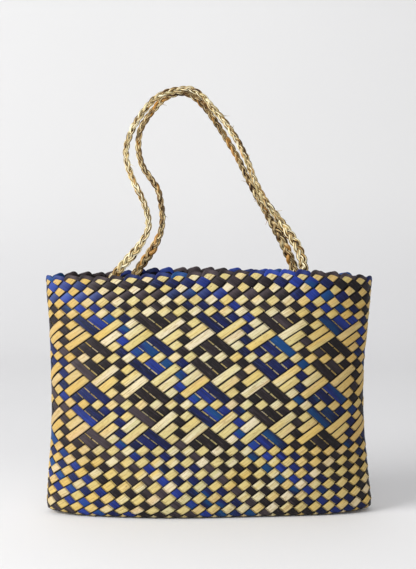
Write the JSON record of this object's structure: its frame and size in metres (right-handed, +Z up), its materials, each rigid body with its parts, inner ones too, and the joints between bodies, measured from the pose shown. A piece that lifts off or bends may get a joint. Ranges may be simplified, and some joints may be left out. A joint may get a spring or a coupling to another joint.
{
  "type": "kete woven bag",
  "caption": "Open-topped plaited flax bag in a diagonal weave of straw, blue and black strips, with a folded rim and two plaited cord handles held up together.",
  "frame": {"origin": "where a hand closes round both handles at their tops, between the two cords", "axes": "+Z up, +X to the right of the front, -Y out of the patterned front"},
  "size_m": [0.3866, 0.11, 0.5042],
  "materials": {
    "natural_flax": "undyed flax strip, satin",
    "black_flax": "dyed brown-black flax strip, satin",
    "blue_flax": "dyed blue flax strip, satin",
    "handle_flax": "plaited dry flax cord, matt"
  },
  "bodies": {
    "root": {"woven_body": "natural_flax", "rim_band": "black_flax", "handle_front": "handle_flax", "handle_back": "handle_flax", "knot_front_left": "handle_flax", "knot_front_right": "handle_flax", "knot_back_left": "handle_flax", "knot_back_right": "handle_flax"}
  },
  "joints": []
}
